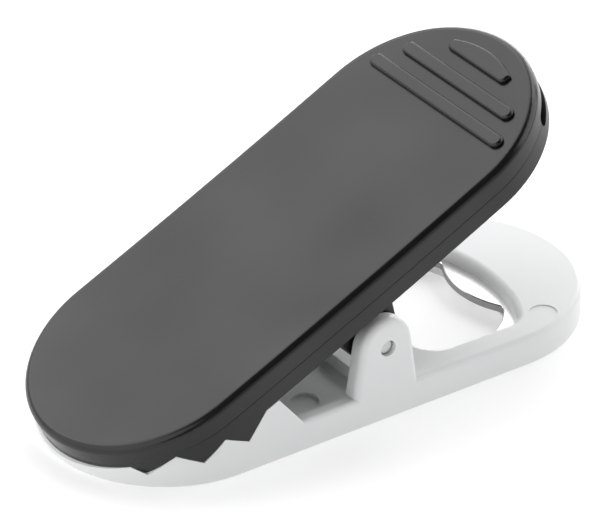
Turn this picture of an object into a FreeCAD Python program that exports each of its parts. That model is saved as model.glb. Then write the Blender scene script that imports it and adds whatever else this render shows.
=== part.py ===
import FreeCAD, Part
import math
import os
import re

import Sketcher

# Spring clip with a bottle opener: two levers on a steel pin, held shut by a torsion spring.
#
# Row frame, millimetres: X along the clip towards the finger end, Y across it, Z up.
# The origin is the middle of the lower lever's flat underside, straight below the pivot.
# The upper lever, its cover and its jaw are drawn in the lever's own frame, which has its
# origin on the pivot axis and is tilted by lever_tilt.

DIMENSIONS = {
    "half_length": (46.5, "half the length of either lever"),
    "half_width": (20.0, "half the width, and the radius of the rounded ends"),
    "pivot_height": (12.5, "pivot axis above the underside"),
    "lever_tilt": (25.2, "angle of the upper lever with the jaw shut, degrees"),
    # Jaw line, seen from the side.
    "nose_height": (1.0, "lower jaw at its very front"),
    "land_end": (41.6, "where the smooth front land ends, ahead of the pivot"),
    "land_height": (3.35, "height at the end of the land"),
    "tip_ahead": (39.7, "first black tooth tip, ahead of the pivot"),
    "tip_height": (2.25, "height of the first tooth tip"),
    "tooth_pitch": (7.3, "distance between teeth"),
    "tooth_climb": (1.55, "rise from one tooth to the next"),
    "flank_run": (3.2, "length of a steep flank"),
    "flank_rise": (3.3, "height of a steep flank"),
    "root_ahead": (22.0, "where the last flank meets the upper lever"),
    "root_height": (9.6, "height of that point"),
    "peak_ahead": (19.75, "top of the lower jaw, ahead of the pivot"),
    "peak_height": (10.6, "height of the top of the lower jaw"),
    "jaw_overrun": (1.0, "how far the upper lever's side view is drawn past its ends"),
    "jaw_gap": (0.16, "height left between the shut jaws"),
    # Lower lever.
    "rail_height": (5.2, "top of the side rails"),
    "foot_round": (0.5, "rounded edge of the underside"),
    "rail_round": (0.8, "rounded outer edge of the rails"),
    "mouth_round": (1.2, "rounded upper edge of the opener hole"),
    "slope_foot": (15.4, "foot of the jaw's back slope on the rails, ahead of the pivot"),
    "tray_floor": (3.0, "floor of the tray between jaw and pivot"),
    "tray_wall": (2.0, "side walls of the tray"),
    "tray_back": (1.0, "back of the tray, ahead of the pivot"),
    "ear_radius": (4.7, "rounded top of an ear"),
    "ear_taper": (8.3, "slope of the ear's edges, degrees"),
    "ear_thickness": (3.0, "thickness of an ear"),
    "ear_round": (1.2, "rounded outer edge of an ear"),
    "ear_soft": (0.4, "rounded inner edge of an ear"),
    "bore_radius": (1.33, "pivot holes"),
    "opening_front": (11.1, "front edge of the opener hole"),
    "opening_rear": (32.3, "rear edge of the opener hole on the centre line"),
    "opening_side": (28.06, "where the rear edge meets the sides"),
    "opening_half": (15.1, "half the width of the opener hole"),
    "front_corner": (4.3, "front corners of the opener hole"),
    "rear_corner": (3.4, "rear corners of the opener hole"),
    "mark_radius": (2.2, "round moulding marks"),
    "tray_mark_depth": (0.4, "depth of the marks in the tray"),
    "end_mark_depth": (0.15, "depth of the marks on the finger end"),
    "tray_mark_ahead": (9.9, "marks in the tray, ahead of the pivot"),
    "tray_mark_side": (12.4, "marks in the tray, off the centre line"),
    "end_mark_behind": (32.4, "marks on the finger end, behind the pivot"),
    "end_mark_side": (15.6, "marks on the finger end, off the centre line"),
    # Opener plate.
    "plate_top": (3.1, "upper face of the steel plate"),
    "plate_thickness": (1.2, "thickness of the steel plate"),
    "plate_half": (17.4, "half the width of the steel plate"),
    "plate_rear": (38.5, "rear edge of the plate, inside the finger end"),
    "cap_centre": (17.7, "centre of the circle that takes the bottle cap"),
    "cap_radius": (15.1, "radius of that circle"),
    "tongue_tip": (28.15, "foremost point of the tongue"),
    "tongue_radius": (15.0, "curve of the tongue"),
    "tongue_corner": (1.4, "hollow corners beside the tongue"),
    "plate_break": (0.12, "broken edge round the tongue"),
    "slot_slack": (0.05, "room around the plate in its slot"),
    # Upper lever, in its own frame.
    "underside": (6.73, "underside above the pivot, at mid-length"),
    "parting": (9.5, "joint between jaw shell and cover, at mid-length"),
    "cover_top": (13.05, "top of the cover at mid-length"),
    "bow": (0.72, "how much the ends of the lever rise above its middle"),
    "cover_wall": (1.8, "side wall of the cover"),
    "cavity_top": (11.6, "ceiling of the hollow cover"),
    "cover_round": (1.2, "rounded top edge of the cover"),
    "seam": (0.06, "small chamfer along the joint"),
    "slot_half": (15.1, "half the width of the slot in the finger end"),
    "slot_floor": (8.75, "floor of that slot, in the jaw shell"),
    "slot_top": (11.05, "ceiling of that slot, in the cover"),
    "slot_corner": (0.9, "rounded corners of that slot"),
    "slot_depth": (9.0, "how far the slot reaches in from the end"),
    "rib_height": (0.7, "height of the finger grips"),
    "rib_round": (0.5, "rounded top edges of the grips"),
    "rib_half_width": (1.2, "half the width of a grip bar, and its end radius"),
    "near_rib": (31.7, "first grip bar, behind the pivot"),
    "near_rib_half": (16.4, "half the length of the first bar"),
    "far_rib": (36.25, "second grip bar, behind the pivot"),
    "far_rib_half": (13.5, "half the length of the second bar"),
    "moon_start": (39.7, "straight edge of the half-moon grip"),
    "moon_crown": (43.0, "crown of the half-moon grip"),
    "moon_shoulder": (41.5, "ends of the crown arc"),
    "moon_half": (7.1, "half the length of the half-moon grip"),
    "moon_corner": (0.9, "rounded corners of the half-moon grip"),
    "rim": (2.0, "rim around the hollow underside"),
    "recess": (1.2, "depth of the hollow underside"),
    "recess_front": (18.0, "front of the hollow underside, ahead of the pivot"),
    "lug_radius": (4.2, "rounded end of a pivot lug"),
    "lug_taper": (12.0, "slope of the lug's edges, degrees"),
    "lug_outside": (16.65, "outer face of a lug, off the centre line"),
    "lug_inside": (11.6, "inner face of a lug"),
    "locating_step": (0.6, "height of the ridge that locates the cover, above the joint's ends"),
    "locating_width": (1.2, "thickness of that ridge"),
    "locating_gap": (0.1, "room around it"),
    # Pin and spring.
    "pin_radius": (1.25, "pivot pin"),
    "pin_break": (0.25, "chamfered ends of the pin"),
    "pin_recess": (0.6, "how far the pin ends sit inside the ears"),
    "wire_radius": (0.6, "spring wire"),
    "coil_radius": (2.5, "mean radius of the spring's coil"),
    "coil_turns": (4.0, "whole turns of the coil"),
    "coil_pitch": (1.35, "distance between turns"),
    "leg_gap": (0.05, "air between a leg and the face that it pushes"),
    "leg_reach": (9.0, "where the legs end, behind the pivot"),
}

FIRST_ROW = 1
TEETH = 3

doc = FreeCAD.newDocument("opener_clip")
sheet = doc.addObject("Spreadsheet::Sheet", "Sizes")
for row, (alias, (number, meaning)) in enumerate(DIMENSIONS.items(), FIRST_ROW):
    sheet.set(f"A{row}", meaning)
    sheet.set(f"B{row}", str(number))
    sheet.setAlias(f"B{row}", alias)
doc.recompute()


def amount(text):
    """What an expression in the sheet's aliases comes to."""
    return float(sheet.evalExpression(text))


def linked(text):
    """The same expression as another object has to write it."""
    return re.sub(r"[a-z_]+", lambda word: "Sizes." * (word[0] in DIMENSIONS) + word[0], text)


def bind(thing, **expressions):
    """Tie properties of an object to the sheet."""
    for name, text in expressions.items():
        thing.setExpression(name, linked(text))


# ---------------------------------------------------------------- sketches


def new_body(name):
    body = doc.addObject("PartDesign::Body", name)
    body.Label = name
    return body


def plane_of(body, role):
    return next(item for item in body.Origin.OriginFeatures if item.Role == role)


def new_sketch(body, role, lift=None):
    """A sketch on one of the body's own origin planes, raised along its normal by lift."""
    sketch = body.newObject("Sketcher::SketchObject", body.Name + "_sketch")
    sketch.AttachmentSupport = [(plane_of(body, role), "")]
    sketch.MapMode = "FlatFace"
    if lift:
        sketch.setExpression("AttachmentOffset.Base.z", linked(lift))
    return sketch


def pin_point(sketch, geometry, vertex, spot):
    """Hold one point of the sketch at a pair of expressions."""
    for kind, text in zip(("DistanceX", "DistanceY"), spot):
        index = sketch.addConstraint(
            Sketcher.Constraint(kind, -1, 1, geometry, vertex, amount(text))
        )
        sketch.setExpression(f"Constraints[{index}]", linked(text))


def draw(sketch, corners):
    """Closed outline. A corner is (x, y), or (x, y, via x, via y) where an arc leaves it."""
    ends = []
    vias = []
    for place, corner in enumerate(corners):
        after = corners[(place + 1) % len(corners)]
        start = FreeCAD.Vector(amount(corner[0]), amount(corner[1]))
        stop = FreeCAD.Vector(amount(after[0]), amount(after[1]))
        if len(corner) == 2:
            ends.append((sketch.addGeometry(Part.LineSegment(start, stop), False), 1, 2))
            continue
        via = FreeCAD.Vector(amount(corner[2]), amount(corner[3]))
        edge = sketch.addGeometry(Part.Arc(start, via, stop), False)
        forward = sketch.getPoint(edge, 1).isEqual(start, 1e-6)
        ends.append((edge, 1, 2) if forward else (edge, 2, 1))
        vias.append((edge, sketch.addGeometry(Part.Point(via), True), corner[2:]))
    for place, (edge, first, last) in enumerate(ends):
        following, joined, _ = ends[(place + 1) % len(ends)]
        sketch.addConstraint(Sketcher.Constraint("Coincident", edge, last, following, joined))
        pin_point(sketch, edge, first, corners[place][:2])
    for edge, point, spot in vias:
        pin_point(sketch, point, 1, spot)
        sketch.addConstraint(Sketcher.Constraint("PointOnObject", point, 1, edge))


def draw_circle(sketch, x, y, radius):
    centre = FreeCAD.Vector(amount(x), amount(y))
    ring = sketch.addGeometry(Part.Circle(centre, FreeCAD.Vector(0, 0, 1), amount(radius)), False)
    pin_point(sketch, ring, 3, (x, y))
    index = sketch.addConstraint(Sketcher.Constraint("Radius", ring, amount(radius)))
    sketch.setExpression(f"Constraints[{index}]", linked(radius))


def stadium(inset="0", front="half_length", rear="half_length"):
    """Plan of a lever, rounded at both ends, moved in by inset."""
    side = f"half_width - {inset}"
    back = "half_width - half_length"
    middle = "half_length - half_width"
    return [
        (back, f"-({side})"),
        (middle, f"-({side})", f"{rear} - {inset}", "0"),
        (middle, side),
        (back, side, f"-({front} - {inset})", "0"),
    ]


def box_outline(left, right, low, high):
    return [(left, low), (right, low), (right, high), (left, high)]


# ---------------------------------------------------------------- features


def pad(body, sketch, length, both=False, turned=False):
    feature = body.newObject("PartDesign::Pad", body.Name + "_pad")
    feature.Profile = sketch
    feature.SideType = "Symmetric" if both else "One side"
    feature.Reversed = turned
    bind(feature, Length=length)
    doc.recompute()
    return feature


def pocket(body, sketch, length, both=False, turned=False):
    """Cut the sketch out, and make sure that the cut took something away."""
    before = body.Shape.Volume
    feature = body.newObject("PartDesign::Pocket", body.Name + "_pocket")
    feature.Profile = sketch
    feature.SideType = "Symmetric" if both else "One side"
    feature.Reversed = turned
    bind(feature, Length=length)
    doc.recompute()
    if body.Shape.Volume > before - 1e-3:
        raise RuntimeError(f"{feature.Name} cuts nothing")
    return feature


def trim_to_stadium(body, inset="0"):
    """Cut away whatever lies outside the lever's rounded plan."""
    sketch = new_sketch(body, "XY_Plane")
    reach = "2*half_length"
    draw(sketch, box_outline(f"-{reach}", reach, f"-{reach}", reach))
    draw(sketch, stadium(inset))
    pocket(body, sketch, reach, both=True)


def dress(body, kind, wanted, size):
    """Fillet or chamfer the edges of the body's last feature that wanted picks out."""
    last = body.Tip
    names = [f"Edge{number}" for number, edge in enumerate(last.Shape.Edges, 1) if wanted(edge)]
    if not names:
        raise RuntimeError(f"no edge of {body.Name} to {kind.lower()} by {size}")
    feature = body.newObject(f"PartDesign::{kind}", f"{body.Name}_{kind.lower()}")
    feature.Base = (last, names)
    bind(feature, **{"Radius" if kind == "Fillet" else "Size": size})
    doc.recompute()
    return feature


def spans(edge, x=None, y=None, z=None):
    """Whether an edge lies wholly inside the given ranges."""
    box = edge.BoundBox
    slack = 1e-3
    limits = ((x, box.XMin, box.XMax), (y, box.YMin, box.YMax), (z, box.ZMin, box.ZMax))
    return all(want is None or (want[0] - slack <= low and high <= want[1] + slack)
               for want, low, high in limits)


def on_outline(edge, inset=0.0):
    """Whether an edge runs along the lever's plan outline, moved in by inset."""
    middle = amount("half_length - half_width")
    radius = amount("half_width") - inset
    for place in (0.1, 0.5, 0.9):
        first, last = edge.ParameterRange
        point = edge.valueAt(first + place * (last - first))
        past_end = max(abs(point.x) - middle, 0)
        if abs(math.hypot(past_end, point.y) - radius) > 0.01:
            return False
    return True


# ---------------------------------------------------------------- lower lever


def jaw_line(lift="0"):
    """The toothed line between the jaws, from the nose back to the last flank."""
    line = [("-half_length", f"nose_height + {lift}"), ("-land_end", f"land_height + {lift}")]
    for tooth in range(TEETH):
        tip = f"{tooth}*tooth_pitch - tip_ahead"
        low = f"tip_height + {tooth}*tooth_climb + {lift}"
        line.append((tip, low))
        if tooth < TEETH - 1:
            line.append((f"{tip} + flank_run", f"{low} + flank_rise"))
    line.append(("-root_ahead", f"root_height + {lift}"))
    return line


def slope_at(height):
    """Where the lower jaw's back slope reaches a height, ahead of the pivot."""
    run = "(peak_ahead - slope_foot)/(peak_height - rail_height)"
    return f"-(slope_foot - (rail_height - {height})*{run})"


def make_ears(body, outline, outside, inside, gap):
    """A pair of ears: a barrel across the lever, with its middle cut out between the two."""
    barrel = new_sketch(body, "XZ_Plane")
    draw(barrel, outline)
    pad(body, barrel, f"2*{outside}", both=True)
    middle = new_sketch(body, "XZ_Plane")
    draw(middle, gap)
    pocket(body, middle, f"2*{inside}", both=True)


def bore(body, height):
    """The pivot hole, right across the lever."""
    sketch = new_sketch(body, "XZ_Plane")
    draw_circle(sketch, "0", height, "bore_radius")
    pocket(body, sketch, "2*half_length", both=True)


def cut_block(body, outline, width):
    """Cut a side-view outline out of the middle of the lever."""
    sketch = new_sketch(body, "XZ_Plane")
    draw(sketch, outline)
    pocket(body, sketch, width, both=True)


def press_marks(body, x, y, floor, depth):
    """The two round moulding marks, one each side of the centre line."""
    sketch = new_sketch(body, "XY_Plane", floor)
    for side in ("", "-"):
        draw_circle(sketch, x, side + y, "mark_radius")
    pocket(body, sketch, depth)


def plate_outline(slack="0"):
    """Plan of the steel plate without its cut-out, enlarged by slack."""
    middle = "half_length - half_width"
    radius = f"(plate_half + {slack})"
    reach = f"(plate_rear + {slack} - ({middle}))"
    turn = f"asin({reach}/{radius})"
    side = f"{radius}*cos({turn})"
    bulge = (f"{middle} + {radius}*sin({turn}/2)", f"{radius}*cos({turn}/2)")
    front = f"cap_centre - {slack}"
    rear = f"plate_rear + {slack}"
    return [
        (front, f"-{radius}"),
        (middle, f"-{radius}", bulge[0], f"-{bulge[1]}"),
        (rear, f"-{side}"),
        (rear, side, *bulge),
        (middle, radius),
        (front, radius),
    ]


def make_lower_lever():
    """White lever: toothed jaw, tray, ears for the pin, rails round the opener hole."""
    body = new_body("lower_lever")
    side = new_sketch(body, "XZ_Plane")
    draw(side, [("-half_length", "0"), ("half_length", "0"), ("half_length", "rail_height"),
                ("-slope_foot", "rail_height"), ("-peak_ahead", "peak_height")]
         + jaw_line()[::-1])
    pad(body, side, "2*half_width", both=True)
    trim_to_stadium(body)
    rail = amount("rail_height")
    dress(body, "Fillet", lambda edge: on_outline(edge) and spans(edge, x=(-20, 50), z=(rail, rail)),
          "rail_round")

    hole = new_sketch(body, "XY_Plane")
    draw(hole, [("opening_front", "-opening_half"),
                ("opening_side", "-opening_half", "opening_rear", "0"),
                ("opening_side", "opening_half"),
                ("opening_front", "opening_half")])
    pocket(body, hole, "2*half_length", both=True)
    for place, size in (("opening_front", "front_corner"), ("opening_side", "rear_corner")):
        at = amount(place)
        dress(body, "Fillet", lambda edge: edge.BoundBox.ZLength > rail - 0.1
              and spans(edge, x=(at, at)), size)
    reach = amount("opening_half")
    dress(body, "Fillet", lambda edge: not on_outline(edge)
          and spans(edge, (10, 33), (-reach, reach), (rail, rail)), "mouth_round")

    press_marks(body, "end_mark_behind", "end_mark_side", "rail_height", "end_mark_depth")

    foot = "ear_radius/cos(ear_taper) + pivot_height*tan(ear_taper)"
    touch = "ear_radius*cos(ear_taper)"
    level = "pivot_height + ear_radius*sin(ear_taper)"
    ears = [(f"-({foot})", "0"), (foot, "0"),
            (touch, level, "0", "pivot_height + ear_radius"), (f"-{touch}", level)]
    make_ears(body, ears, "half_width", "(half_width - ear_thickness)",
              box_outline(f"-({foot})", foot, "rail_height", "2*pivot_height"))
    for inset, size in (("0", "ear_round"), ("ear_thickness", "ear_soft")):
        face = amount(f"half_width - {inset}")
        for end in (face, -face):
            dress(body, "Fillet", lambda edge: spans(edge, (-7, 7), (end, end), (rail, 20))
                  and edge.BoundBox.ZMax > rail + 1, size)
    dress(body, "Fillet", lambda edge: on_outline(edge) and spans(edge, z=(0, 0)), "foot_round")

    cut_block(body, [("-slope_foot", "rail_height"), (slope_at("tray_floor"), "tray_floor"),
                     ("-tray_back", "tray_floor"), ("-tray_back", "rail_height")],
              "2*(half_width - tray_wall)")
    slot = new_sketch(body, "XY_Plane", "plate_top")
    draw(slot, plate_outline("slot_slack"))
    pocket(body, slot, "plate_thickness")
    bore(body, "pivot_height")
    press_marks(body, "-tray_mark_ahead", "tray_mark_side", "tray_floor", "tray_mark_depth")
    return body


def make_opener_plate():
    """Steel plate held in the lower lever, with a tongue that hooks under a bottle cap."""
    body = new_body("opener_plate")
    sheet_metal = new_sketch(body, "XY_Plane", "plate_top")
    draw(sheet_metal, plate_outline())
    pad(body, sheet_metal, "plate_thickness", turned=True)
    curve_centre = "(tongue_tip + tongue_radius)"
    apart = f"({curve_centre} - cap_centre)"
    meet = f"(cap_radius^2 - tongue_radius^2 + {curve_centre}^2 - cap_centre^2)/(2*{apart})"
    beside = f"sqrt(cap_radius^2 - ({meet} - cap_centre)^2)"
    cut = new_sketch(body, "XY_Plane", "plate_top")
    draw(cut, [(meet, f"-{beside}", "tongue_tip", "0"),
               (meet, beside, "cap_centre - cap_radius", "0")])
    pocket(body, cut, "plate_thickness")
    corner = amount(meet)
    dress(body, "Fillet", lambda edge: spans(edge, x=(corner, corner)), "tongue_corner")
    top = amount("plate_top")
    dress(body, "Chamfer", lambda edge: spans(edge, (26, 31), (-13.5, 13.5), (top, top)),
          "plate_break")
    return body


# ---------------------------------------------------------------- upper lever


def tilt(body):
    """Put a body drawn in the lever's frame where the lever is with its jaw shut."""
    body.Placement = FreeCAD.Placement(
        FreeCAD.Vector(), FreeCAD.Rotation(FreeCAD.Vector(0, -1, 0), amount("lever_tilt"))
    )
    body.setExpression("Placement.Base.z", linked("pivot_height"))
    body.setExpression("Placement.Rotation.Angle", linked("lever_tilt"))
    doc.recompute()
    return body


def in_lever(corner):
    """A point of the row's side view, seen in the tilted lever's frame."""
    x, z = corner
    rise = f"({z} - pivot_height)"
    return (f"({x})*cos(lever_tilt) + {rise}*sin(lever_tilt)",
            f"{rise}*cos(lever_tilt) - ({x})*sin(lever_tilt)")


def bowed(level, along):
    """Height of a bowed surface of the lever, at a distance along from its middle."""
    return f"{level} + bow*({along}/half_length)^2"


def follows_bow(edge, level):
    """Whether an edge lies on the lever's outline and on that bowed surface."""
    first, last = edge.ParameterRange
    points = [edge.valueAt(first + place * (last - first)) for place in (0.1, 0.5, 0.9)]
    rises = [point.z - amount(bowed(level, f"{point.x:.6f}")) for point in points]
    return on_outline(edge) and max(map(abs, rises)) < 0.02


def finger_slot(body):
    """Cut the slot in the finger end, which lies across the joint between the two shells."""
    bulge = "slot_corner*(1 - sqrt(0.5))"
    flat = "(slot_half - slot_corner)"
    far = f"(slot_half - {bulge})"
    lower = "slot_floor + slot_corner"
    upper = "slot_top - slot_corner"
    low = f"slot_floor + {bulge}"
    high = f"slot_top - {bulge}"
    sketch = new_sketch(body, "YZ_Plane", "half_length - slot_depth")
    draw(sketch, [("slot_half", lower), ("slot_half", upper, far, high),
                  (flat, "slot_top"), (f"-{flat}", "slot_top", f"-{far}", high),
                  ("-slot_half", upper), ("-slot_half", lower, f"-{far}", low),
                  (f"-{flat}", "slot_floor"), (flat, "slot_floor", far, low)])
    pocket(body, sketch, "2*slot_depth", turned=True)


def make_upper_jaw():
    """Lower shell of the black lever: plate, teeth, and lugs for the pin."""
    body = new_body("upper_jaw")
    side = new_sketch(body, "XZ_Plane")
    teeth = [in_lever(corner) for corner in jaw_line("jaw_gap")]
    reach = "(half_length + jaw_overrun)"
    joint_end = bowed("parting", reach)
    draw(side, teeth[:-1] + [(*teeth[-1], "0", "underside"),
                             (reach, bowed("underside", reach)),
                             (reach, joint_end, "0", "parting"), (f"-{reach}", joint_end)])
    pad(body, side, "2*half_width", both=True)
    trim_to_stadium(body)
    dress(body, "Chamfer", lambda edge: follows_bow(edge, "parting"), "seam")

    floor = "underside + recess"
    edge_line = "half_width - rim"
    middle = "half_length - half_width"
    hollow = new_sketch(body, "XY_Plane", floor)
    draw(hollow, [("-recess_front", f"-({edge_line})"),
                  (middle, f"-({edge_line})", "half_length - rim", "0"),
                  (middle, edge_line), ("-recess_front", edge_line)])
    pocket(body, hollow, "recess")

    foot = f"lug_radius/cos(lug_taper) + ({floor})*tan(lug_taper)"
    touch = "lug_radius*cos(lug_taper)"
    level = "-lug_radius*sin(lug_taper)"
    lugs = [(f"-({foot})", floor), (f"-{touch}", level, "0", "-lug_radius"), (touch, level),
            (foot, floor)]
    make_ears(body, lugs, "lug_outside", "lug_inside",
              box_outline(f"-({foot})", foot, "-2*lug_radius", floor))
    bore(body, "0")

    ridge = new_sketch(body, "XY_Plane", "parting")
    draw(ridge, stadium("(cover_wall + locating_gap)"))
    draw(ridge, stadium("(cover_wall + locating_gap + locating_width)"))
    pad(body, ridge, "bow + locating_step")
    finger_slot(body)
    return tilt(body)


def grip(body, outline, behind):
    """A raised finger grip on the cover, level on top, with its edges rounded."""
    base = "(cavity_top + cover_top)/2"
    surface = bowed("cover_top", behind)
    sketch = new_sketch(body, "XY_Plane", base)
    draw(sketch, outline)
    pad(body, sketch, f"{surface} + rib_height - {base}")
    top = amount(f"{surface} + rib_height")
    dress(body, "Fillet", lambda edge: spans(edge, x=(20, 50), z=(top, top)), "rib_round")


def bar_outline(behind, half):
    """Plan of a straight grip bar across the lever, with round ends."""
    left = f"{behind} - rib_half_width"
    right = f"{behind} + rib_half_width"
    flat = f"({half} - rib_half_width)"
    return [
        (right, f"-{flat}"),
        (right, flat, behind, half),
        (left, flat),
        (left, f"-{flat}", behind, f"-{half}"),
    ]


def moon_outline():
    """Plan of the half-moon grip: a straight edge, a crown arc and two rounded corners."""
    flat = "(moon_half - moon_corner)"
    elbow = ("moon_start + 0.3*moon_corner", "(moon_half - 0.3*moon_corner)")
    bend = "moon_start + moon_corner"
    return [
        ("moon_start", flat, elbow[0], elbow[1]),
        (bend, "moon_half"),
        ("moon_shoulder", "moon_half", "moon_crown", "0"),
        ("moon_shoulder", "-moon_half"),
        (bend, "-moon_half", elbow[0], f"-{elbow[1]}"),
        ("moon_start", f"-{flat}"),
    ]


def make_top_cover():
    """Black cover: a shallow bowed cap over the jaw shell, with three finger grips."""
    body = new_body("top_cover")
    side = new_sketch(body, "XZ_Plane")
    joint_end = bowed("parting", "half_length")
    top_end = bowed("cover_top", "half_length")
    draw(side, [("-half_length", joint_end, "0", "parting"), ("half_length", joint_end),
                ("half_length", top_end, "0", "cover_top"), ("-half_length", top_end)])
    pad(body, side, "2*half_width", both=True)
    trim_to_stadium(body)
    dress(body, "Fillet", lambda edge: follows_bow(edge, "cover_top"), "cover_round")
    dress(body, "Chamfer", lambda edge: follows_bow(edge, "parting"), "seam")
    grip(body, bar_outline("near_rib", "near_rib_half"), "near_rib")
    grip(body, bar_outline("far_rib", "far_rib_half"), "far_rib")
    grip(body, moon_outline(), "moon_shoulder")

    hollow = new_sketch(body, "XY_Plane", "cavity_top")
    draw(hollow, stadium("cover_wall"))
    pocket(body, hollow, "cavity_top")
    finger_slot(body)
    return tilt(body)


# ---------------------------------------------------------------- pin and spring


def make_pivot_pin():
    """Steel pin through both pairs of ears, its ends a little inside them."""
    body = new_body("pivot_pin")
    sketch = new_sketch(body, "XZ_Plane")
    draw_circle(sketch, "0", "0", "pin_radius")
    pad(body, sketch, "2*(half_width - pin_recess)", both=True)
    dress(body, "Chamfer", lambda edge: edge.BoundBox.YLength < 1e-6, "pin_break")
    body.setExpression("Placement.Base.z", linked("pivot_height"))
    doc.recompute()
    return body


def leg_heading(reach, height, turning):
    """Direction in degrees, and length, of a leg from the coil to a point seen from its axis."""
    away = math.hypot(reach, height)
    offset = math.degrees(math.asin(amount("coil_radius") / away))
    length = math.sqrt(away**2 - amount("coil_radius")**2)
    return math.degrees(math.atan2(height, reach)) + turning * offset, length


def make_torsion_spring():
    """Coil round the pin with two legs that push the finger ends of the levers apart."""
    wire = amount("wire_radius")
    radius = amount("coil_radius")
    reach = amount("leg_reach")
    air = amount("leg_gap")
    low, low_length = leg_heading(reach, amount("rail_height - pivot_height") + wire + air, 1)
    high, high_length = leg_heading(reach, amount("underside + recess") - wire - air, -1)
    high += amount("lever_tilt")
    wrap = low - 90 + 360 - (high + 90)
    turns = amount("coil_turns") + wrap / 360
    rise = turns * amount("coil_pitch")
    helix = Part.makeHelix(amount("coil_pitch"), rise, radius)
    helix.rotate(FreeCAD.Vector(), FreeCAD.Vector(0, 0, 1), high + 90)
    coil = helix.Edges[0]
    first, last = coil.ParameterRange
    begin = coil.valueAt(first)
    finish = coil.valueAt(last)
    lead_in = coil.tangentAt(first)
    lead_out = coil.tangentAt(last)
    start = begin - lead_in * high_length
    path = Part.Wire([Part.makeLine(start, begin), coil,
                      Part.makeLine(finish, finish + lead_out * low_length)])
    section = Part.Wire([Part.makeCircle(wire, start, lead_in)])
    shape = path.makePipeShell([section], True, False)
    shape.rotate(FreeCAD.Vector(), FreeCAD.Vector(1, 0, 0), 90)
    shape.translate(FreeCAD.Vector(0, rise / 2, amount("pivot_height")))
    spring = doc.addObject("Part::Feature", "torsion_spring")
    spring.Label = "torsion_spring"
    spring.Shape = shape
    return spring


PARTS = [make_lower_lever, make_opener_plate, make_upper_jaw, make_top_cover, make_pivot_pin,
         make_torsion_spring]


def check_and_write():
    """Stop on any failed object, then write each piece to its own file."""
    for item in doc.Objects:
        if {"Invalid", "Error"} & set(item.State):
            raise RuntimeError(f"{item.Name} failed: {item.State}")
    os.makedirs("parts", exist_ok=True)
    for piece in PIECES:
        shape = piece.Shape
        if shape.isNull() or not shape.isValid():
            raise RuntimeError(f"{piece.Label} has no valid shape")
        shape.exportStep(f"parts/{piece.Label}.step")
        box = shape.BoundBox
        print(f"{piece.Label}: {shape.Volume / 1000:.2f} cm3, {len(shape.Solids)} solid(s), "
              f"X {box.XMin:.2f}..{box.XMax:.2f}  Y {box.YMin:.2f}..{box.YMax:.2f}  "
              f"Z {box.ZMin:.2f}..{box.ZMax:.2f}")


PIECES = [make() for make in PARTS]
check_and_write()
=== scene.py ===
import math

import bmesh
import bpy
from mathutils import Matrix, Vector


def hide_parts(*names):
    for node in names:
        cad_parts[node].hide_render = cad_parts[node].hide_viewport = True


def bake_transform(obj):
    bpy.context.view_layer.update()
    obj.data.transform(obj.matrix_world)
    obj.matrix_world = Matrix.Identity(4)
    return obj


# Spring clip with a bottle opener. Metres, in the row frame: X towards the finger end, Z up.
# The CAD pieces keep their shapes and get materials; the spring is rebuilt with its upper leg
# turned to the upper lever's tilt, and the CAD spring is hidden.

MM = 0.001

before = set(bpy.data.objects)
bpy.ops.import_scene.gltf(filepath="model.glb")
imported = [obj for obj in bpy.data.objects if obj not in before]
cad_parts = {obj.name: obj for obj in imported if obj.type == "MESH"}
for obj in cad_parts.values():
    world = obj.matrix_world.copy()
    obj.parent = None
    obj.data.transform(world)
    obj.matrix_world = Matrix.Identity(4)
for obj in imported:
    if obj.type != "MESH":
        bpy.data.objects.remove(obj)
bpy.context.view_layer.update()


# ---------------------------------------------------------------- materials


NOISE_LOW = 0.3
NOISE_HIGH = 0.7


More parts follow.
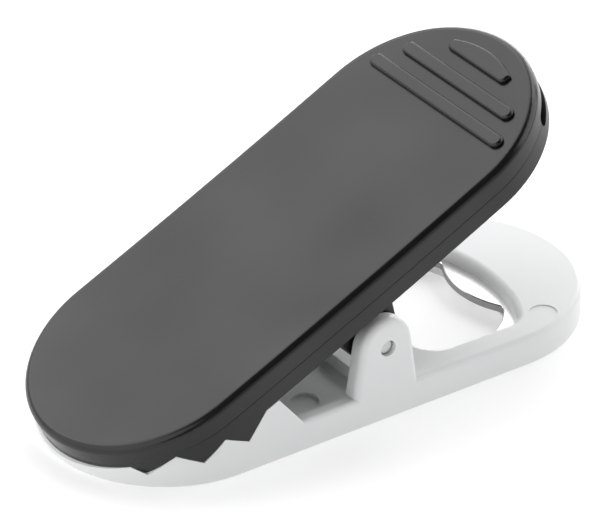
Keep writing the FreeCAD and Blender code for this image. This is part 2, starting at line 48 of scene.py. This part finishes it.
class Surface:
    """A Principled material that is built up with procedural detail."""

    def __init__(self, name, color, roughness, metallic=0.0):
        self.material = bpy.data.materials.new(name)
        self.material.use_nodes = True
        self.nodes = self.material.node_tree.nodes
        self.links = self.material.node_tree.links
        self.shader = self.nodes["Principled BSDF"]
        self.shader.inputs["Base Color"].default_value = (*color, 1.0)
        self.shader.inputs["Roughness"].default_value = roughness
        self.shader.inputs["Metallic"].default_value = metallic
        self.place = self.nodes.new("ShaderNodeTexCoord").outputs["Object"]
        self.normal = None

    def stretched(self, scale):
        """Object coordinates scaled differently along each axis."""
        mapping = self.nodes.new("ShaderNodeMapping")
        mapping.inputs["Scale"].default_value = scale
        self.links.new(self.place, mapping.inputs["Vector"])
        return mapping.outputs["Vector"]

    def noise(self, size, detail=2.0, roughness=0.5, vector=None):
        """Noise whose features are about size millimetres across."""
        texture = self.nodes.new("ShaderNodeTexNoise")
        texture.inputs["Scale"].default_value = 1.0 / (size * MM)
        texture.inputs["Detail"].default_value = detail
        texture.inputs["Roughness"].default_value = roughness
        self.links.new(vector or self.place, texture.inputs["Vector"])
        return texture.outputs["Fac"]

    def bump(self, height, depth):
        """Relief of that height field, depth millimetres from low to high."""
        node = self.nodes.new("ShaderNodeBump")
        node.inputs["Strength"].default_value = 1.0
        node.inputs["Distance"].default_value = depth * MM
        self.links.new(height, node.inputs["Height"])
        if self.normal:
            self.links.new(self.normal, node.inputs["Normal"])
        self.normal = node.outputs["Normal"]
        self.links.new(self.normal, self.shader.inputs["Normal"])

    def vary(self, socket, field, low, high):
        """Drive a shader input with a field: low up to NOISE_LOW, high from NOISE_HIGH on."""
        spread = self.nodes.new("ShaderNodeMapRange")
        spread.inputs["From Min"].default_value = NOISE_LOW
        spread.inputs["From Max"].default_value = NOISE_HIGH
        spread.inputs["To Min"].default_value = low
        spread.inputs["To Max"].default_value = high
        self.links.new(field, spread.inputs["Value"])
        self.links.new(spread.outputs["Result"], self.shader.inputs[socket])

    def tint(self, field, dark, light):
        """Vary the base colour between two colours."""
        mix = self.nodes.new("ShaderNodeMix")
        mix.data_type = "RGBA"
        mix.inputs["A"].default_value = (*dark, 1.0)
        mix.inputs["B"].default_value = (*light, 1.0)
        self.links.new(field, mix.inputs["Factor"])
        self.links.new(mix.outputs["Result"], self.shader.inputs["Base Color"])


def black_plastic(name, roughness, grain, waviness):
    """Satin black moulding: fine grain, slight sink marks and uneven gloss."""
    surface = Surface(name, (0.0055, 0.0055, 0.006), roughness)
    surface.bump(surface.noise(26.0, 1.0), waviness)
    surface.bump(surface.noise(0.35, 3.0), grain)
    surface.vary("Roughness", surface.noise(9.0, 3.0), roughness - 0.03, roughness + 0.04)
    surface.vary("Specular IOR Level", surface.noise(24.0, 1.5), 0.40, 0.52)
    surface.tint(surface.noise(14.0), (0.005, 0.005, 0.0055), (0.006, 0.006, 0.0065))
    return surface.material


def white_plastic(name):
    """Smooth white moulding with a faint texture."""
    surface = Surface(name, (0.75, 0.755, 0.76), 0.38)
    surface.bump(surface.noise(12.0, 1.0), 0.05)
    surface.bump(surface.noise(0.5, 3.0), 0.0015)
    surface.vary("Roughness", surface.noise(7.0, 3.0), 0.34, 0.42)
    surface.tint(surface.noise(10.0), (0.73, 0.735, 0.74), (0.75, 0.755, 0.76))
    surface.shader.inputs["Subsurface Weight"].default_value = 0.08
    surface.shader.inputs["Subsurface Radius"].default_value = (1.0, 0.9, 0.8)
    surface.shader.inputs["Subsurface Scale"].default_value = 1.2 * MM
    return surface.material


def sheet_steel(name, color, edge_and_painted_shade_color, roughness, grain):
    """Smooth rolled sheet whose sheared edges are rougher than its faces; their darker colour is
    painted shade, deeper the more a face turns sideways.
    """
    surface = Surface(name, color, roughness, metallic=1.0)
    facing = surface.nodes.new("ShaderNodeSeparateXYZ")
    surface.links.new(surface.nodes.new("ShaderNodeTexCoord").outputs["Normal"], facing.inputs[0])
    upright = surface.nodes.new("ShaderNodeMath")
    upright.operation = "ABSOLUTE"
    surface.links.new(facing.outputs["Z"], upright.inputs[0])
    surface.vary("Roughness", upright.outputs[0], 0.5, roughness)
    # Painted shade: the more a face turns sideways, the more of the dark edge colour it gets.
    surface.tint(upright.outputs[0], edge_and_painted_shade_color, color)
    surface.bump(surface.noise(0.6, 2.0, vector=surface.stretched((1.0, 0.1, 1.0))), grain)
    return surface.material


def steel(name, color, roughness, grain, stretch):
    """Metal with fine lines drawn along the axis that stretch leaves long."""
    surface = Surface(name, color, roughness, metallic=1.0)
    lines = surface.noise(0.12, 2.0, vector=surface.stretched(stretch))
    surface.bump(lines, grain)
    surface.vary("Roughness", lines, roughness - 0.05, roughness + 0.07)
    surface.tint(surface.noise(6.0), tuple(0.93 * part for part in color), color)
    return surface.material


LOOKS = {
    "lower_lever": white_plastic("white_moulding"),
    # The plate's dark second colour is painted shade on its sheared edges.
    "opener_plate": sheet_steel("plate_steel", (0.78, 0.78, 0.77), (0.30, 0.30, 0.30), 0.26,
                                0.00003),
    "upper_jaw": black_plastic("black_shell", 0.34, 0.002, 0.03),
    "top_cover": black_plastic("black_cover", 0.24, 0.0012, 0.32),
    "pivot_pin": steel("pin_steel", (0.58, 0.58, 0.57), 0.32, 0.0006, (1.0, 0.05, 1.0)),
}
for node, look in LOOKS.items():
    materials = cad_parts[node].data.materials
    materials.clear()
    materials.append(look)


# ---------------------------------------------------------------- torsion spring

WIRE = 0.6 * MM        # radius of the wire
COIL = 2.5 * MM        # mean radius of the coil
PITCH = 1.35 * MM      # distance between turns
TURNS = 4              # whole turns; the legs' headings add a part of one
LEG_REACH = 9.0 * MM   # where the legs end, behind the pivot
AIR = 0.05 * MM        # between a leg and the face that it pushes
PIVOT = 12.5 * MM      # pivot axis above the underside
RAIL = 5.2 * MM        # top of the lower lever's rails
CEILING = 7.93 * MM    # hollow underside of the upper lever, above the pivot
TILT = math.radians(25.2)
TURN_STEPS = 40
LEG_STEPS = 8


def leg(reach, height, turning):
    """Heading and length of a straight leg, from the coil to a point seen from its axis."""
    away = math.hypot(reach, height)
    heading = math.atan2(height, reach) + turning * math.asin(COIL / away)
    return heading, math.sqrt(away**2 - COIL**2)


def spring_path():
    """Centre line of the wire, upper leg, coil and lower leg, and half the coil's length."""
    low, low_length = leg(LEG_REACH, RAIL - PIVOT + WIRE + AIR, 1)
    high, high_length = leg(LEG_REACH, CEILING - WIRE - AIR, -1)
    high += TILT
    start = high + math.pi / 2
    wrap = TURNS * 2 * math.pi + (low - math.pi / 2 + 2 * math.pi - start)
    rise = PITCH * wrap / (2 * math.pi)
    steps = TURN_STEPS * TURNS

    def coil_point(share):
        angle = start + share * wrap
        return Vector((COIL * math.cos(angle), rise * (0.5 - share),
                       PIVOT + COIL * math.sin(angle)))

    coil = [coil_point(step / steps) for step in range(steps + 1)]
    into = (coil_point(1e-4) - coil_point(0)).normalized()
    out = (coil_point(1) - coil_point(1 - 1e-4)).normalized()
    upper = [coil[0] - into * high_length * (1 - step / LEG_STEPS) for step in range(LEG_STEPS)]
    lower = [coil[-1] + out * low_length * (step + 1) / LEG_STEPS for step in range(LEG_STEPS)]
    return upper + coil + lower, rise / 2


def tube(name, points, radius, sides=20):
    """A round wire along the points, closed and slightly rounded at both ends."""
    mesh = bmesh.new()
    rings = []
    across = Vector((0, 1, 0))
    last = len(points) - 1
    stations = [(0, 0.55, 0.0), (0, 0.9, 0.18)]
    stations += [(place, 1.0, 0.4 if place == 0 else 0.0) for place in range(last)]
    stations += [(last, 1.0, -0.4), (last, 0.9, -0.18), (last, 0.55, 0.0)]
    for place, width, inset in stations:
        before = points[max(place - 1, 0)]
        after = points[min(place + 1, last)]
        along = (after - before).normalized()
        across = (across - along * across.dot(along)).normalized()
        other = along.cross(across)
        centre = points[place] + along * inset * radius
        ring = []
        for side in range(sides):
            turn = 2 * math.pi * side / sides
            offset = across * math.cos(turn) + other * math.sin(turn)
            ring.append(mesh.verts.new(centre + offset * width * radius))
        rings.append(ring)
    for first, second in zip(rings, rings[1:]):
        for side in range(sides):
            after = (side + 1) % sides
            mesh.faces.new((first[side], first[after], second[after], second[side]))
    mesh.faces.new(rings[0][::-1])
    mesh.faces.new(rings[-1])
    bmesh.ops.recalc_face_normals(mesh, faces=mesh.faces)
    data = bpy.data.meshes.new(name)
    mesh.to_mesh(data)
    mesh.free()
    data.polygons.foreach_set("use_smooth", [True] * len(data.polygons))
    piece = bpy.data.objects.new(name, data)
    bpy.context.scene.collection.objects.link(piece)
    return piece


wire_points, coil_half = spring_path()
spring = tube("spring_wire", wire_points, WIRE)
spring.data.materials.append(steel("spring_steel", (0.50, 0.50, 0.50), 0.30, 0.0006, (1, 1, 1)))
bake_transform(spring)
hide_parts("torsion_spring")


# ---------------------------------------------------------------- studio

FLOOR_GLOW = 0.45
FLOOR_HALF = 3.0
FLOOR_DEPTH = 0.03 * MM
WORLD_LIGHT = 0.05
LAMP_TARGET = (0.0, 0.0, 0.015)

# Name, heading from +X and elevation in degrees, distance, width, height, radiance.
SOFTBOXES = [
    ("back_softbox", 98, 46, 1.3, 1.3, 1.1, 2.4),
    ("back_strip", 100, 10, 1.3, 1.6, 0.46, 0.9),
    ("right_softbox", 52, 33, 1.3, 0.7, 0.75, 1.75),
    ("rim_strip", 43, 8, 1.3, 0.7, 0.36, 5.0),
    ("edge_softbox", 22, 30, 1.3, 0.40, 1.5, 2.9),
    ("left_softbox", 178, 30, 1.3, 2.6, 1.5, 1.5),
    ("key_softbox", -18, 34, 1.3, 1.1, 1.4, 2.2),
    ("front_strip", -75, 13.5, 1.4, 1.8, 0.65, 0.62),
]

CAMERA_AZIMUTH = -35.01
CAMERA_ELEVATION = 32.23
CAMERA_DISTANCE = 0.8333
CAMERA_AIM = (0.0040, 0.0074, 0.0133)
CAMERA_LENS = 322.2
SENSOR_WIDTH = 36.0


def make_floor():
    """A pale light table: it glows a little, which keeps the shadows on it soft."""
    data = bpy.data.meshes.new("floor")
    corners = [(x * FLOOR_HALF, y * FLOOR_HALF, -FLOOR_DEPTH)
               for x, y in ((-1, -1), (1, -1), (1, 1), (-1, 1))]
    data.from_pydata(corners, [], [(0, 1, 2, 3)])
    floor = bpy.data.objects.new("floor", data)
    bpy.context.scene.collection.objects.link(floor)
    surface = Surface("pale_floor", (0.62, 0.62, 0.62), 0.75)
    surface.tint(surface.noise(60.0), (0.61, 0.61, 0.61), (0.63, 0.63, 0.63))
    surface.shader.inputs["Emission Color"].default_value = (1.0, 1.0, 1.0, 1.0)
    surface.shader.inputs["Emission Strength"].default_value = FLOOR_GLOW
    data.materials.append(surface.material)


def softbox(name, heading, elevation, distance, width, height, radiance):
    """A rectangular soft light that faces the clip and has the given radiance."""
    data = bpy.data.lights.new(name, "AREA")
    data.shape = "RECTANGLE"
    data.size = width
    data.size_y = height
    data.energy = radiance * math.pi * width * height
    lamp = bpy.data.objects.new(name, data)
    turn = math.radians(heading)
    rise = math.radians(elevation)
    aim = Vector((math.cos(turn) * math.cos(rise), math.sin(turn) * math.cos(rise),
                  math.sin(rise)))
    lamp.location = Vector(LAMP_TARGET) + aim * distance
    lamp.rotation_mode = "QUATERNION"
    lamp.rotation_quaternion = (-aim).to_track_quat("-Z", "Y")
    bpy.context.scene.collection.objects.link(lamp)


def make_world():
    """A faint even light from all round."""
    world = bpy.data.worlds.new("studio")
    world.use_nodes = True
    world.node_tree.nodes["Background"].inputs["Color"].default_value = (1.0, 1.0, 1.0, 1.0)
    world.node_tree.nodes["Background"].inputs["Strength"].default_value = WORLD_LIGHT
    bpy.context.scene.world = world


def make_camera():
    """Camera at an azimuth from -Y and an elevation, aimed at a point near the origin."""
    data = bpy.data.cameras.new("camera")
    data.lens = CAMERA_LENS
    data.sensor_width = SENSOR_WIDTH
    camera = bpy.data.objects.new("camera", data)
    turn = math.radians(CAMERA_AZIMUTH)
    rise = math.radians(CAMERA_ELEVATION)
    camera.location = Vector((
        math.sin(turn) * math.cos(rise), -math.cos(turn) * math.cos(rise), math.sin(rise)
    )) * CAMERA_DISTANCE
    camera.rotation_mode = "QUATERNION"
    ahead = Vector(CAMERA_AIM) - camera.location
    camera.rotation_quaternion = ahead.to_track_quat("-Z", "Y")
    data.clip_start = 0.01
    data.clip_end = 20.0
    bpy.context.scene.collection.objects.link(camera)
    bpy.context.scene.camera = camera


make_floor()
make_world()
for box in SOFTBOXES:
    softbox(*box)
make_camera()
bpy.context.scene.view_settings.view_transform = "Standard"
